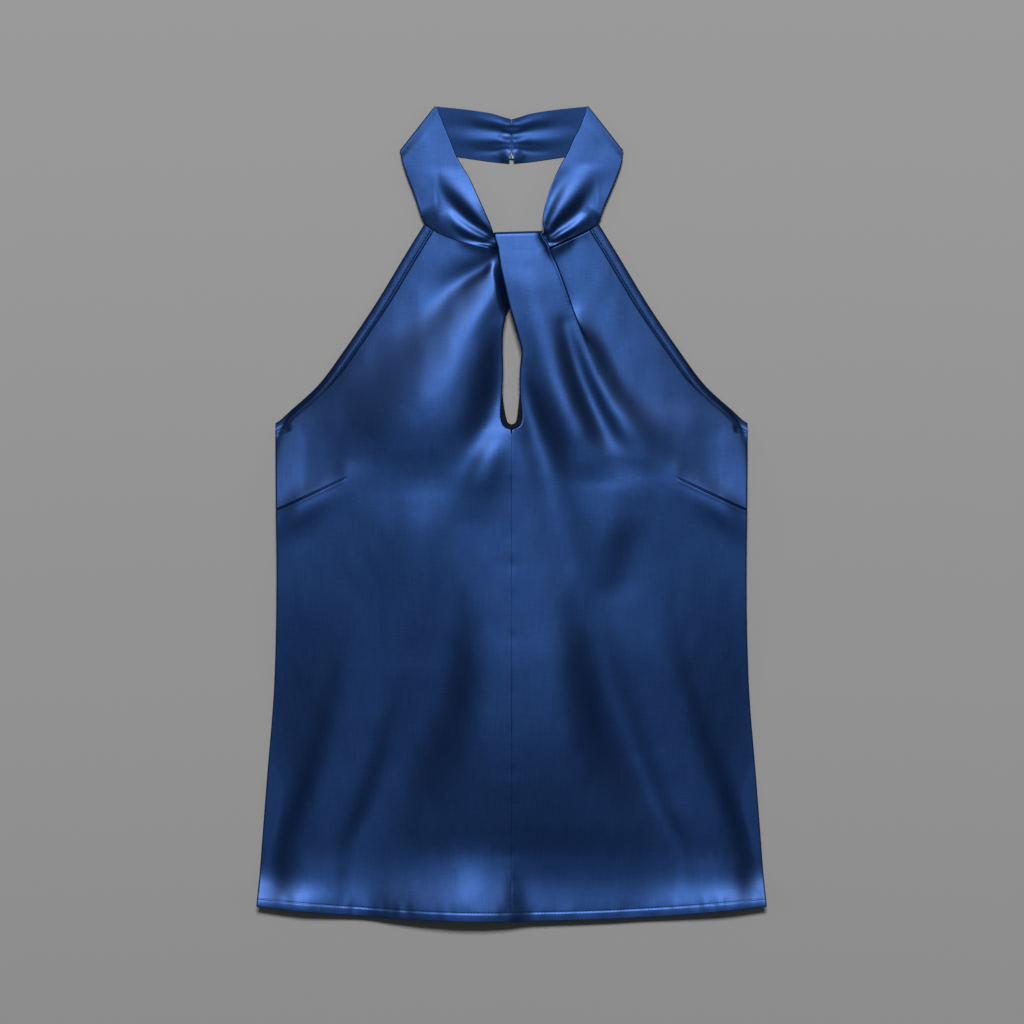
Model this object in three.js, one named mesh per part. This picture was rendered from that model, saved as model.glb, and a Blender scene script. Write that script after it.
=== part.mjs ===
// A satin halter neck top, laid flat on its back with the neck towards +Y, in millimetres.
//
// The front is cut in two halves that are sewn together down the centre, under a keyhole. At the neck the
// wearer's left half runs on as a strap. The strap lies over the ends of the two neck bands and of the other
// half, turns over at the top and comes back underneath, which makes the twist. Each neck band goes up one
// side of the neck, folds over and runs behind it to a hook and eye at the centre back. The back is a low
// panel that ends at the underarms. Narrow bindings finish the armholes, and a facing shows in the keyhole.
//
// Right and left are the wearer's, so the right side is at -X. Z is up from the surface that the top lies on.

import * as THREE from 'three';

// ---------------------------------------------------------------- driving sizes

const CLOTH = 1.0; // wall of one layer of cloth with its turnings
const SEAM_GAP = 0.3; // between two pieces that are sewn together
const LENGTH = 711; // from the neck fold to the lowest point of the hem
const HALF_HEM = 222; // from the centre front to the side seam at the hem
const HALF_WAIST = 204.5;
const HALF_CHEST = 206;
const SIDE_SEAM = 413; // height of the side seam
const HEM_DROP = 13; // the hem is this much lower at the centre than at the side seams
const BINDING = 8; // width of the armhole bindings
const LOFT = 9.5; // height of the front's underside over the surface, between the folds
const SIDE_ROLL = 62; // the front comes down to the back over this width at each side
const STRAP_HEIGHT = 10; // height of the strap's underside where it crosses the bands
const TUCK_HEIGHT = 5.5; // height of what passes under the strap
const STRAP_TOP = 245; // highest point of the strap's turn along Y
const STRAP_RETURN = 30; // length of strap that comes back underneath

const HEM = -LENGTH / 2;
const SIDE_FOOT = HEM + HEM_DROP;
const UNDERARM = SIDE_FOOT + SIDE_SEAM;
const NECK_FOLD = LENGTH / 2 - 1.13; // end of the bands' fold line, which the fold's bulge runs past
const NECK_SEAM_OUTER = 251.5; // where the neck seam meets the armhole
const KEYHOLE_FOOT = 72.5;
const RIGHT = -1;
const LEFT = 1;

// ---------------------------------------------------------------- small helpers

const lerp = THREE.MathUtils.lerp;
const clamp01 = (t) => THREE.MathUtils.clamp(t, 0, 1);
const ease = (t) => THREE.MathUtils.smoothstep(t, 0, 1);

// Value of a column at `at`, smooth between the rows of a table that is in rising order of `key`.
function readTable(rows, key, value, at) {
  const last = rows.length - 1;
  let i = 0;
  while (i < last - 1 && at > rows[i + 1][key]) i += 1;
  const slopeAt = (k) => {
    const a = rows[Math.max(k - 1, 0)];
    const b = rows[Math.min(k + 1, last)];
    return (b[value] - a[value]) / (b[key] - a[key]);
  };
  const span = rows[i + 1][key] - rows[i][key];
  const t = clamp01((at - rows[i][key]) / span);
  const start = rows[i][value];
  const end = rows[i + 1][value];
  const curve = t * t * (3 - 2 * t);
  const startSlope = slopeAt(i) * span * t * (1 - t) ** 2;
  const endSlope = slopeAt(i + 1) * span * t * t * (t - 1);
  return lerp(start, end, curve) + startSlope + endSlope;
}

// `count` steps from start to end, ends included.
const steps = (start, end, count) => Array.from({ length: count + 1 }, (_, i) => lerp(start, end, i / count));

// ---------------------------------------------------------------- cloth as a sheet of quads with a wall

// A sheet is a list of points on one face of the cloth and of quads between them, seen from the other face.
class Sheet {
  constructor() {
    this.points = [];
    this.quads = [];
  }

  // Adds a grid of points, one array for each row, and returns the indices of the points.
  addGrid(rows) {
    const indices = rows.map((row) => row.map((p) => this.points.push(p) - 1));
    for (let i = 1; i < indices.length; i += 1) this.joinRows(indices[i - 1], indices[i]);
    return indices;
  }

  joinRows(a, b) {
    for (let j = 1; j < a.length; j += 1) this.quads.push([a[j - 1], a[j], b[j], b[j - 1]]);
  }

  normals() {
    const sums = this.points.map(() => new THREE.Vector3());
    for (const quad of this.quads) {
      const [a, b, c, d] = quad.map((k) => this.points[k]);
      const across = new THREE.Vector3().subVectors(c, a).cross(new THREE.Vector3().subVectors(d, b));
      quad.forEach((k) => sums[k].add(across));
    }
    return sums.map((n) => n.normalize());
  }

  // The closed solid of the cloth, `wall` thick on the side that the quads face.
  solid(wall = CLOTH) {
    const normals = this.normals();
    const count = this.points.length;
    const moved = this.points.map((p, k) => p.clone().addScaledVector(normals[k], wall));
    const positions = [...this.points, ...moved].flatMap((p) => [p.x, p.y, p.z]);
    const edges = new Map();
    const faces = [];
    for (const [a, b, c, d] of this.quads) {
      faces.push(a, c, b, a, d, c);
      faces.push(a + count, b + count, c + count, a + count, c + count, d + count);
      for (const [s, e] of [[a, b], [b, c], [c, d], [d, a]]) edges.set(`${s},${e}`, [s, e]);
    }
    for (const [s, e] of edges.values()) {
      if (!edges.has(`${e},${s}`)) faces.push(s, e, e + count, s, e + count, s + count);
    }
    const geometry = new THREE.BufferGeometry();
    geometry.setAttribute('position', new THREE.Float32BufferAttribute(positions, 3));
    geometry.setIndex(faces);
    geometry.computeVertexNormals();
    return geometry;
  }
}

// ---------------------------------------------------------------- outlines

// Half width at each height: the side seam, and the armhole's edge above it.
const SIDE_EDGE = [
  { y: SIDE_FOOT, half: HALF_HEM },
  { y: -230, half: 213.5 },
  { y: -150, half: 207 },
  { y: -60, half: HALF_WAIST },
  { y: UNDERARM, half: HALF_CHEST },
];
const ARMHOLE_EDGE = [
  { y: UNDERARM + BINDING, half: HALF_CHEST },
  { y: 82, half: 201 },
  { y: 90, half: 192.5 },
  { y: 112, half: 168.5 },
  { y: 140, half: 147.5 },
  { y: 182, half: 119 },
  { y: 224, half: 93.5 },
  { y: NECK_SEAM_OUTER, half: 76.5 },
];
const sideHalf = (y) => readTable(SIDE_EDGE, 'y', 'half', y);
const halfWidth = (y) => (y < UNDERARM + BINDING ? sideHalf(y) : readTable(ARMHOLE_EDGE, 'y', 'half', y));

// Point on the armhole, `inset` in from its edge, at a share of the way up from the side seam.
const armholeCurve = new THREE.SplineCurve(ARMHOLE_EDGE.map((row) => new THREE.Vector2(row.half, row.y)));
function armholePoint(share, inset) {
  const along = armholeCurve.getTangentAt(share);
  const edge = armholeCurve.getPointAt(share);
  const inward = new THREE.Vector2(-along.y, along.x).lerp(new THREE.Vector2(0, -1), 1 - ease(share / 0.12));
  return edge.addScaledVector(inward.normalize(), inset);
}

// Inner edge of each half above the keyhole's foot. The right half's edge goes on under the strap, and the
// left half's is the strap's own edge.
const INNER_EDGE = {
  [RIGHT]: [
    { y: KEYHOLE_FOOT, x: -SEAM_GAP / 2 },
    { y: 73.6, x: -4.2 },
    { y: 77, x: -7.6 },
    { y: 86, x: -9.2 },
    { y: 98, x: -8.4 },
    { y: 133, x: -7.8 },
    { y: 163, x: -6.6 },
    { y: 180, x: -2.6 },
    { y: 200, x: 8 },
    { y: 227, x: 16 },
  ],
  [LEFT]: [
    { y: KEYHOLE_FOOT, x: SEAM_GAP / 2 },
    { y: 73.6, x: 4.4 },
    { y: 77, x: 7.8 },
    { y: 86, x: 9.2 },
    { y: 98, x: 8.4 },
    { y: 141, x: 8.6 },
    { y: 158, x: 4.6 },
    { y: 180, x: -2 },
    { y: 213, x: -10 },
    { y: 232, x: -13 },
  ],
};
function innerX(side, y) {
  return y <= KEYHOLE_FOOT ? (side * SEAM_GAP) / 2 : readTable(INNER_EDGE[side], 'y', 'x', y);
}

// The strap's other edge is a fold in the left half, which opens into a soft ridge lower down.
const STRAP_FOLD = [
  { y: 40, x: 98 },
  { y: 94, x: 87 },
  { y: 150, x: 62.5 },
  { y: 182, x: 51 },
  { y: 215, x: 39.5 },
  { y: 230, x: 33.3 },
];
const strapFoldX = (y) => readTable(STRAP_FOLD, 'y', 'x', y);
const FOLD_STEP = 1.6; // the fold's own width: the cloth steps down from the strap to the panel in it

// ---------------------------------------------------------------- folds

// Soft ridges (up) and troughs (down) of the front. Each is a line with a height and a half width at every
// point, and dies away on both sides and past its ends.
const FOLDS = [
  { name: 'ridge from the twist, right', line: [
    { x: -14, y: 206, up: 2.4, half: 7 },
    { x: -34, y: 180, up: 3.4, half: 12 },
    { x: -57, y: 138, up: 3.4, half: 18 },
    { x: -80, y: 88, up: 1.4, half: 24 },
  ] },
  { name: 'trough under that ridge', line: [
    { x: -17, y: 172, up: -1, half: 8 },
    { x: -27, y: 138, up: -2, half: 12 },
    { x: -46, y: 84, up: -2.4, half: 22 },
    { x: -66, y: 52, up: -1, half: 26 },
  ] },
  { name: 'trough over that ridge', line: [
    { x: -18, y: 220, up: -1.6, half: 7 },
    { x: -40, y: 206, up: -1.6, half: 10 },
    { x: -70, y: 170, up: -0.6, half: 18 },
  ] },
  { name: 'trough beside the strap fold', line: [
    { x: 58, y: 190, up: -1.4, half: 8 },
    { x: 82, y: 142, up: -1.6, half: 13 },
    { x: 100, y: 88, up: -2, half: 18 },
  ] },
  { name: 'trough beside the keyhole, left', line: [
    { x: 18, y: 112, up: -1.4, half: 10 },
    { x: 28, y: 56, up: -2, half: 15 },
    { x: 44, y: -20, up: -1.4, half: 20 },
  ] },
  { name: 'long trough of the body, left', line: [
    { x: 52, y: -90, up: -1.6, half: 22 },
    { x: 68, y: -200, up: -2.2, half: 26 },
    { x: 112, y: -278, up: -1.6, half: 34 },
  ] },
  { name: 'long trough of the body, right', line: [
    { x: -45, y: -80, up: -1.2, half: 24 },
    { x: -42, y: -160, up: -2, half: 26 },
    { x: -70, y: -262, up: -1.6, half: 40 },
  ] },
  { name: 'ridge down the middle', line: [
    { x: 12, y: -60, up: 1, half: 26 },
    { x: 20, y: -190, up: 1.4, half: 30 },
    { x: 6, y: -300, up: 0.6, half: 34 },
  ] },
];

// Height of one fold over (x, y).
function foldHeight(fold, x, y) {
  let nearest = { distance: Infinity };
  for (let i = 1; i < fold.line.length; i += 1) {
    const a = fold.line[i - 1];
    const b = fold.line[i];
    const along = ((x - a.x) * (b.x - a.x) + (y - a.y) * (b.y - a.y)) / ((b.x - a.x) ** 2 + (b.y - a.y) ** 2);
    const t = clamp01(along);
    const distance = Math.hypot(x - lerp(a.x, b.x, t), y - lerp(a.y, b.y, t));
    if (distance < nearest.distance) {
      nearest = { distance, up: lerp(a.up, b.up, t), half: lerp(a.half, b.half, t) };
    }
  }
  return nearest.up * Math.exp(-((nearest.distance / nearest.half) ** 2));
}

// Height of the front's under face: low along the side seams and armholes, lofted between, with the folds.
function frontHeight(x, y) {
  const low = lerp(CLOTH + SEAM_GAP, 0.3, ease((y - UNDERARM) / 60));
  const fromEdge = Math.max(halfWidth(y) - Math.abs(x), 0);
  const roll = ease(fromEdge / lerp(SIDE_ROLL, 42, ease((y - UNDERARM) / 120)));
  const crown = lerp(LOFT, TUCK_HEIGHT, ease((y - 90) / 130));
  const folds = FOLDS.reduce((sum, fold) => sum + foldHeight(fold, x, y), 0);
  return low + (crown - low) * roll + folds * clamp01(fromEdge / 30);
}

// The same for the right half, which sinks to pass under the strap.
const TUCK_WIDTH = 14;
function rightHeight(x, y) {
  const underStrap = (x - innerX(LEFT, y) + TUCK_WIDTH) / TUCK_WIDTH;
  const tuck = ease(underStrap) * ease((y - 150) / 30);
  return lerp(frontHeight(x, y), TUCK_HEIGHT, tuck);
}

// The same for the left half, whose strap rises to cross over.
function leftHeight(x, y) {
  const inStrap = 1 - ease((x - strapFoldX(y)) / FOLD_STEP);
  const rise = ease((y - 110) / 90);
  return lerp(frontHeight(x, y), STRAP_HEIGHT, inStrap * rise);
}

// ---------------------------------------------------------------- front halves

// Levels from the hem up: where they meet the inner edge, the strap fold's line and the outer edge, and how
// many rows of quads lie above each. `arm` is the share of the armhole's length at the outer edge.
const LEVELS = [
  { inner: HEM, fold: HEM + 2.2, outer: SIDE_FOOT, rows: 12 },
  { inner: 36, fold: 37, outer: 40, rows: 2 },
  { inner: KEYHOLE_FOOT - SEAM_GAP, fold: 73, outer: UNDERARM - SEAM_GAP, arm: 0, rows: 3 },
  { inner: 82, fold: 84, arm: 0.17, rows: 7 },
  { inner: 162, fold: 165, arm: 0.62, rows: 7 },
  { inner: 227, fold: 229.5, arm: 1, rows: 0 },
];

// The outer point of a level: on the side seam, or on the inner side of the armhole binding.
function outerPoint(level) {
  if (level.arm === undefined) return new THREE.Vector2(sideHalf(level.outer), level.outer);
  return armholePoint(level.arm, BINDING + SEAM_GAP);
}

function levelRows() {
  const rows = [];
  for (let i = 0; i < LEVELS.length; i += 1) {
    const from = LEVELS[i];
    const to = LEVELS[Math.min(i + 1, LEVELS.length - 1)];
    for (let k = 0; k < Math.max(from.rows, 1); k += 1) {
      const t = k / Math.max(from.rows, 1);
      const onArmhole = from.arm !== undefined && to.arm !== undefined;
      const mixed = onArmhole ? { arm: lerp(from.arm, to.arm, t) } : { outer: lerp(from.outer, to.outer, t) };
      rows.push({ inner: lerp(from.inner, to.inner, t), fold: lerp(from.fold, to.fold, t), outer: outerPoint(mixed) });
    }
  }
  return rows;
}

// A row of the right half, from the side seam or armhole in. It curves up towards the outside.
const RIGHT_SHARES = [1, 0.965, 0.925, 0.875, 0.81, 0.73, 0.64, 0.55, 0.46, 0.37, 0.28, 0.19, 0.1, 0];
const BOW = 2.1;
const rightSeamY = (row, share) => lerp(row.inner, row.outer.y, share ** BOW);

function rightRow(row) {
  const inner = innerX(RIGHT, row.inner);
  return RIGHT_SHARES.map((share) => {
    const x = lerp(inner, -row.outer.x, share);
    const y = rightSeamY(row, share);
    return new THREE.Vector3(x, y, rightHeight(x, y));
  });
}

// A row of the left half, from the keyhole or the strap's free edge out to the side, across the strap fold.
const STRAP_SHARES = steps(0, 1, 5);
const PANEL_SHARES = [0, 0.12, 0.25, 0.38, 0.51, 0.64, 0.76, 0.87, 0.94, 1];

function leftRow(row) {
  const inner = innerX(LEFT, row.inner);
  const foldX = strapFoldX(row.fold);
  const strap = STRAP_SHARES.map((share) => {
    return { x: lerp(inner, foldX, share), y: lerp(row.inner, row.fold, share ** 2) };
  });
  const panel = PANEL_SHARES.map((share) => {
    return { x: lerp(foldX + FOLD_STEP, row.outer.x, share), y: lerp(row.fold, row.outer.y, share) };
  });
  return [...strap, ...panel].map(({ x, y }) => new THREE.Vector3(x, y, leftHeight(x, y)));
}

function rightFront() {
  const sheet = new Sheet();
  sheet.addGrid(levelRows().map(rightRow));
  return sheet;
}

// The strap past the last row: on up, over the turn at the top and back underneath.
const TURN_RADIUS = (STRAP_HEIGHT - CLOTH) / 2;
const TURN_STEPS = 6;
const STRAP_EDGES_AT_TOP = { left: -15, right: 27 };

function strapStations() {
  const turnY = STRAP_TOP - CLOTH - TURN_RADIUS;
  const stations = [{ y: 234, z: STRAP_HEIGHT, top: 0.5 }, { y: turnY, z: STRAP_HEIGHT, top: 1 }];
  for (let k = 1; k <= TURN_STEPS; k += 1) {
    const angle = (Math.PI * k) / TURN_STEPS;
    const y = turnY + TURN_RADIUS * Math.sin(angle);
    stations.push({ y, z: STRAP_HEIGHT - TURN_RADIUS * (1 - Math.cos(angle)), top: 1 });
  }
  steps(turnY, turnY - STRAP_RETURN, 3).slice(1).forEach((y) => stations.push({ y, z: CLOTH, top: 1 }));
  return stations;
}

function leftFront() {
  const sheet = new Sheet();
  const rows = levelRows().map(leftRow);
  const indices = sheet.addGrid(rows);
  const last = rows[rows.length - 1];
  const strap = sheet.addGrid(strapStations().map(({ y, z, top }) => STRAP_SHARES.map((share, k) => {
    const atTop = lerp(STRAP_EDGES_AT_TOP.left, STRAP_EDGES_AT_TOP.right, share);
    return new THREE.Vector3(lerp(last[k].x, atTop, top), y, z);
  })));
  sheet.joinRows(indices[indices.length - 1].slice(0, STRAP_SHARES.length), strap[0]);
  return sheet;
}

// ---------------------------------------------------------------- back

// The back lies flat on the surface. Its hem stops just short of the front's.
const BACK_SETBACK = 2;
const BACK_TOP = 62;
const BACK_SHARES = [-1, -0.9, -0.75, -0.55, -0.35, -0.15, 0.15, 0.35, 0.55, 0.75, 0.9, 1];

function back() {
  const sheet = new Sheet();
  sheet.addGrid(steps(0, 1, 14).map((up) => BACK_SHARES.map((share) => {
    const centreY = lerp(HEM + BACK_SETBACK, BACK_TOP, up);
    const sideY = lerp(SIDE_FOOT + BACK_SETBACK, UNDERARM, up);
    const y = lerp(centreY, sideY, Math.abs(share) ** BOW);
    return new THREE.Vector3(share * (sideHalf(y) - 0.5), y, 0);
  })));
  return sheet;
}

// ---------------------------------------------------------------- bindings and keyhole facing

function armholeBinding(side) {
  const sheet = new Sheet();
  const heightAt = side === LEFT ? leftHeight : rightHeight;
  const lines = [BINDING, BINDING / 2, 0].map((inset) => steps(0, 1, 22).map((share) => {
    const { x, y } = armholePoint(share, inset);
    return new THREE.Vector3(side * x, y, heightAt(side * x, y));
  }));
  sheet.addGrid(side === LEFT ? lines.reverse() : lines);
  return sheet;
}

// A strip under the two halves, round the keyhole's foot. It shows past their edges, most near the foot.
const FACING_SHOWS = [
  { y: KEYHOLE_FOOT, width: 4.8 },
  { y: 80, width: 5.4 },
  { y: 88, width: 5.6 },
  { y: 98, width: 3.2 },
  { y: 104, width: 0.8 },
];
const FACING_HIDDEN = 4.2;
const FACING_LEVELS = [104, 97, 91, 86, 81, 77, 74.6, 73.2];
const FACING_CENTRE = 84;

function keyholeFacing() {
  const edge = [
    ...FACING_LEVELS.map((y) => new THREE.Vector2(innerX(RIGHT, y), y)),
    new THREE.Vector2(0, KEYHOLE_FOOT),
    ...[...FACING_LEVELS].reverse().map((y) => new THREE.Vector2(innerX(LEFT, y), y)),
  ];
  const sheet = new Sheet();
  sheet.addGrid([1, 0.5, 0].map((share) => edge.map((p) => {
    const target = new THREE.Vector2(0, Math.max(p.y, FACING_CENTRE));
    const inward = new THREE.Vector2().subVectors(target, p).normalize();
    const shows = lerp(-FACING_HIDDEN, readTable(FACING_SHOWS, 'y', 'width', p.y), share);
    const { x, y } = p.clone().addScaledVector(inward, shows);
    return new THREE.Vector3(x, y, frontHeight(x, y) - SEAM_GAP - CLOTH - 0.2);
  })));
  return sheet;
}

// ---------------------------------------------------------------- neck bands

// A band is a ribbon. Each row is a line across it, from its upper (inner) edge to its lower (outer) edge:
// flat on the surface behind the neck, then over the fold, then down the side of the neck on top of itself.
const BAND_BACK = [
  { upperX: 0.15, upperY: 343.5, lowerX: 3.2, lowerY: 306 },
  { upperX: 18, upperY: 348.4, lowerX: 27, lowerY: 308.6 },
  { upperX: 36, upperY: 351.5, lowerX: 50, lowerY: 311.5 },
  { upperX: 52, upperY: 353, lowerX: 76, lowerY: 314 },
  { upperX: 66, upperY: NECK_FOLD, lowerX: 97, lowerY: 315.5 },
];
const BAND_FOLD_RADIUS = 0.8;
const BAND_FOLD_STEPS = 4;

// The side of the neck, down to the neck seam's outer end. `lift` is the height of the middle of the ribbon.
const BAND_SIDE = [
  { upperX: 61.5, upperY: 344, lowerX: 96.6, lowerY: 308, lift: 3 },
  { upperX: 55, upperY: 328, lowerX: 93.5, lowerY: 296.5, lift: 3.6 },
  { upperX: 48, upperY: 313, lowerX: 88, lowerY: 280.5, lift: 4 },
  { upperX: 42, upperY: 301, lowerX: 83, lowerY: 267, lift: 4 },
  { upperX: 36.5, upperY: 290, lowerX: 76.8, lowerY: NECK_SEAM_OUTER + SEAM_GAP, lift: 4.4 },
];

// The rest runs in to the twist, and its lower edge follows the neck seam. `seam` is the share of the seam's
// length from its inner end.
const BAND_FRONT = [
  { upperX: 33, upperY: 281.5, seam: 0.9 },
  { upperX: 29.5, upperY: 272.5, seam: 0.79 },
  { upperX: 25.5, upperY: 263.5, seam: 0.66 },
  { upperX: 21.5, upperY: 255.5, seam: 0.54 },
  { upperX: 18.6, upperY: 249.5, seam: 0.43 },
  { upperX: 16.8, upperY: 244, seam: 0.34 },
  { upperX: 11.5, upperY: 242.2, seam: 0.27 },
  { upperX: -2, upperY: 242, seam: 0.17 },
];
const LEFT_INNER_SHIFT = 11.5; // the twist sits to the left, so the left band's inner end starts further out

// Ridges and troughs along the band, gathered into the twist: at a share of its width, from the lower edge.
const BAND_FOLDS = [
  { at: 0.93, up: -1.2, half: 0.07 },
  { at: 0.74, up: 1.5, half: 0.1 },
  { at: 0.48, up: -1.6, half: 0.12 },
  { at: 0.24, up: 1.1, half: 0.1 },
];
const BAND_SHARES = steps(0, 1, 9);

// A line across the ribbon from its lower to its upper edge, with a height for each point.
function acrossBand(lower, upper, heightAt) {
  return BAND_SHARES.map((share) => {
    return new THREE.Vector3(lerp(lower.x, upper.x, share), lerp(lower.y, upper.y, share), heightAt(share));
  });
}

// The neck seam of each half, a little above the panel's top edge.
function seamPoint(side, share) {
  const rows = levelRows();
  const top = rows[rows.length - 1];
  if (side === RIGHT) {
    const x = lerp(innerX(RIGHT, top.inner), -top.outer.x, share);
    const y = rightSeamY(top, share);
    return new THREE.Vector3(x, y + SEAM_GAP, rightHeight(x, y));
  }
  const foldX = strapFoldX(top.fold) + FOLD_STEP;
  const x = lerp(foldX, top.outer.x, share);
  const y = lerp(top.fold, top.outer.y, share);
  return new THREE.Vector3(x, y + SEAM_GAP, leftHeight(x, y));
}

function neckBand(side) {
  const rows = BAND_BACK.map((row) => acrossBand(
    new THREE.Vector2(side * row.lowerX, row.lowerY),
    new THREE.Vector2(side * row.upperX, row.upperY),
    () => CLOTH,
  ));
  const end = BAND_BACK[BAND_BACK.length - 1];
  const foldLine = new THREE.Vector2(end.upperX - end.lowerX, end.upperY - end.lowerY).normalize();
  for (let k = 1; k <= BAND_FOLD_STEPS; k += 1) {
    const angle = (Math.PI * k) / BAND_FOLD_STEPS;
    const out = BAND_FOLD_RADIUS * Math.sin(angle);
    const dx = foldLine.y * out;
    const dy = -foldLine.x * out;
    rows.push(acrossBand(
      new THREE.Vector2(side * (end.lowerX + dx), end.lowerY + dy),
      new THREE.Vector2(side * (end.upperX + dx), end.upperY + dy),
      () => CLOTH + BAND_FOLD_RADIUS * (1 - Math.cos(angle)),
    ));
  }
  const foldTop = CLOTH + 2 * BAND_FOLD_RADIUS;
  const gather = (share, amount) => BAND_FOLDS.reduce((sum, fold) => {
    return sum + amount * fold.up * Math.exp(-(((share - fold.at) / fold.half) ** 2));
  }, 0);
  BAND_SIDE.forEach((row, k) => {
    const onSurface = lerp(foldTop, 0.6, ease(k / 3));
    const amount = 0.8 * ease((k - 1) / 4);
    rows.push(acrossBand(
      new THREE.Vector2(side * row.lowerX, row.lowerY),
      new THREE.Vector2(side * row.upperX, row.upperY),
      (share) => lerp(onSurface, row.lift, ease(share / 0.4)) + gather(share, amount),
    ));
  });
  BAND_FRONT.forEach((row, k) => {
    const t = k / (BAND_FRONT.length - 1);
    const shift = side === LEFT ? LEFT_INNER_SHIFT * ease(k / 5) : 0;
    const seam = side === LEFT ? Math.max((row.seam - 0.34) / 0.66, 0) : row.seam;
    const lower = seamPoint(side, seam);
    if (side === LEFT && row.seam < 0.34) {
      lower.x = row.upperX + shift + 3;
      lower.y = 231.5;
    }
    const amount = 0.8 * (1 - ease((t - 0.25) / 0.4));
    rows.push(acrossBand(
      lower,
      new THREE.Vector2(side * row.upperX + (side === LEFT ? shift : 0), row.upperY),
      (share) => lerp(lower.z, lerp(4.4, TUCK_HEIGHT, t), ease(share / 0.4)) + gather(share, amount),
    ));
  });
  const sheet = new Sheet();
  sheet.addGrid(side === LEFT ? rows : rows.map((row) => row.reverse()));
  return sheet;
}

// ---------------------------------------------------------------- hook and eye

const WIRE = 0.6;
const METAL_BASE = CLOTH + SEAM_GAP;
const CLOSURE_Y = 310.5;

// A flat ring, sewn on the left band's end. The hook catches its near side.
function eye() {
  const ring = new THREE.Shape();
  ring.absellipse(4.2, CLOSURE_Y, 2.9, 3.1, 0, 2 * Math.PI);
  const hole = new THREE.Path();
  hole.absellipse(4.2, CLOSURE_Y, 2.1, 2.3, 0, 2 * Math.PI, true);
  ring.holes.push(hole);
  const geometry = new THREE.ExtrudeGeometry(ring, { depth: WIRE, bevelEnabled: false, curveSegments: 20 });
  return geometry.translate(0, 0, METAL_BASE);
}

// A flat tongue from the right band's end, which steps up over the eye and turns down inside it.
const HOOK_LINE = [
  { x: -6.5, rise: 0 },
  { x: -1, rise: 0 },
  { x: 0.4, rise: 1.1 },
  { x: 3.2, rise: 1.1 },
  { x: 4.2, rise: 0.9 },
];
const HOOK_WIDTH = 2.2;

function hook() {
  const sheet = new Sheet();
  sheet.addGrid([-HOOK_WIDTH / 2, HOOK_WIDTH / 2].map((across) => {
    return HOOK_LINE.map(({ x, rise }) => new THREE.Vector3(x, CLOSURE_Y + across, METAL_BASE + rise));
  }));
  return sheet;
}

// ---------------------------------------------------------------- the top

const satin = () => new THREE.MeshStandardMaterial({ color: 0x274b8f, roughness: 0.35, metalness: 0 });
const nickel = () => new THREE.MeshStandardMaterial({ color: 0xb9bec6, roughness: 0.3, metalness: 1 });

const pieces = [
  { name: 'front_right', geometry: rightFront().solid(), material: satin() },
  { name: 'front_left', geometry: leftFront().solid(), material: satin() },
  { name: 'back', geometry: back().solid(), material: satin() },
  { name: 'neck_band_right', geometry: neckBand(RIGHT).solid(), material: satin() },
  { name: 'neck_band_left', geometry: neckBand(LEFT).solid(), material: satin() },
  { name: 'armhole_binding_right', geometry: armholeBinding(RIGHT).solid(), material: satin() },
  { name: 'armhole_binding_left', geometry: armholeBinding(LEFT).solid(), material: satin() },
  { name: 'keyhole_facing', geometry: keyholeFacing().solid(), material: satin() },
  { name: 'hook', geometry: hook().solid(WIRE), material: nickel() },
  { name: 'eye', geometry: eye(), material: nickel() },
];

const top = new THREE.Group();
for (const { name, geometry, material } of pieces) {
  const mesh = new THREE.Mesh(geometry, material);
  mesh.name = name;
  top.add(mesh);
}

export default top;
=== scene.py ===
# %% [markdown]
# # A satin halter neck top, laid flat
#
# This lesson dresses a plain, rigid model of a top in real-looking cloth. The top lies on its back with the
# neck towards +Y. Its front is two halves joined down the middle, with a keyhole, and the left half runs on
# as a strap that laps over the ends of the neck bands and turns back under them: the twist.
#
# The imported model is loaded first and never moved. Every piece of cloth below is a new mesh that replaces
# one of its nodes.

# %% Load the frame
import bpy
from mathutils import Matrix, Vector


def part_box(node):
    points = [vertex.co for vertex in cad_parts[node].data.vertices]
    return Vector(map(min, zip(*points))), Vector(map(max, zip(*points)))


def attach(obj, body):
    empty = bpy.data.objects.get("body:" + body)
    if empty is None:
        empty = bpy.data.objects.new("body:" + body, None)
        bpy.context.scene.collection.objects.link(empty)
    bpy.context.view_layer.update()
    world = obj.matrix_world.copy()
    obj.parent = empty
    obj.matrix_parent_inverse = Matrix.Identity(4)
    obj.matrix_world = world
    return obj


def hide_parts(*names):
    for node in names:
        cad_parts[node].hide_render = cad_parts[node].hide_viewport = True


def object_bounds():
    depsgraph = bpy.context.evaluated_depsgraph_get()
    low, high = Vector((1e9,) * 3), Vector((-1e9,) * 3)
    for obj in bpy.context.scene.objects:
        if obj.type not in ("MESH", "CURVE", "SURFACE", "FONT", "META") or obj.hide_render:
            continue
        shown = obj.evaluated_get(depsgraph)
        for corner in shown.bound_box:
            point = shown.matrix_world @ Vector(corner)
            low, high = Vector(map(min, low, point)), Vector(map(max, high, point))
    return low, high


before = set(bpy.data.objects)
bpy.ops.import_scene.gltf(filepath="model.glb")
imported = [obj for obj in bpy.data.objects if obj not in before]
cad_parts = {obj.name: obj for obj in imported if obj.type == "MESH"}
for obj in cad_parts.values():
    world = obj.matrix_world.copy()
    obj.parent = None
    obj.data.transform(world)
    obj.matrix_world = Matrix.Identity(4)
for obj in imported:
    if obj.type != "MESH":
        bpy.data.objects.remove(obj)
cad_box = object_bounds()
print("CAD box in metres:", [list(corner) for corner in cad_box])

# %% Libraries and units
import math

import bpy
import numpy as np

MM = 0.001  # all sizes below are in millimetres, and meshes are in metres
RIGHT = -1  # the wearer's right, at -X
LEFT = 1

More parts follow.
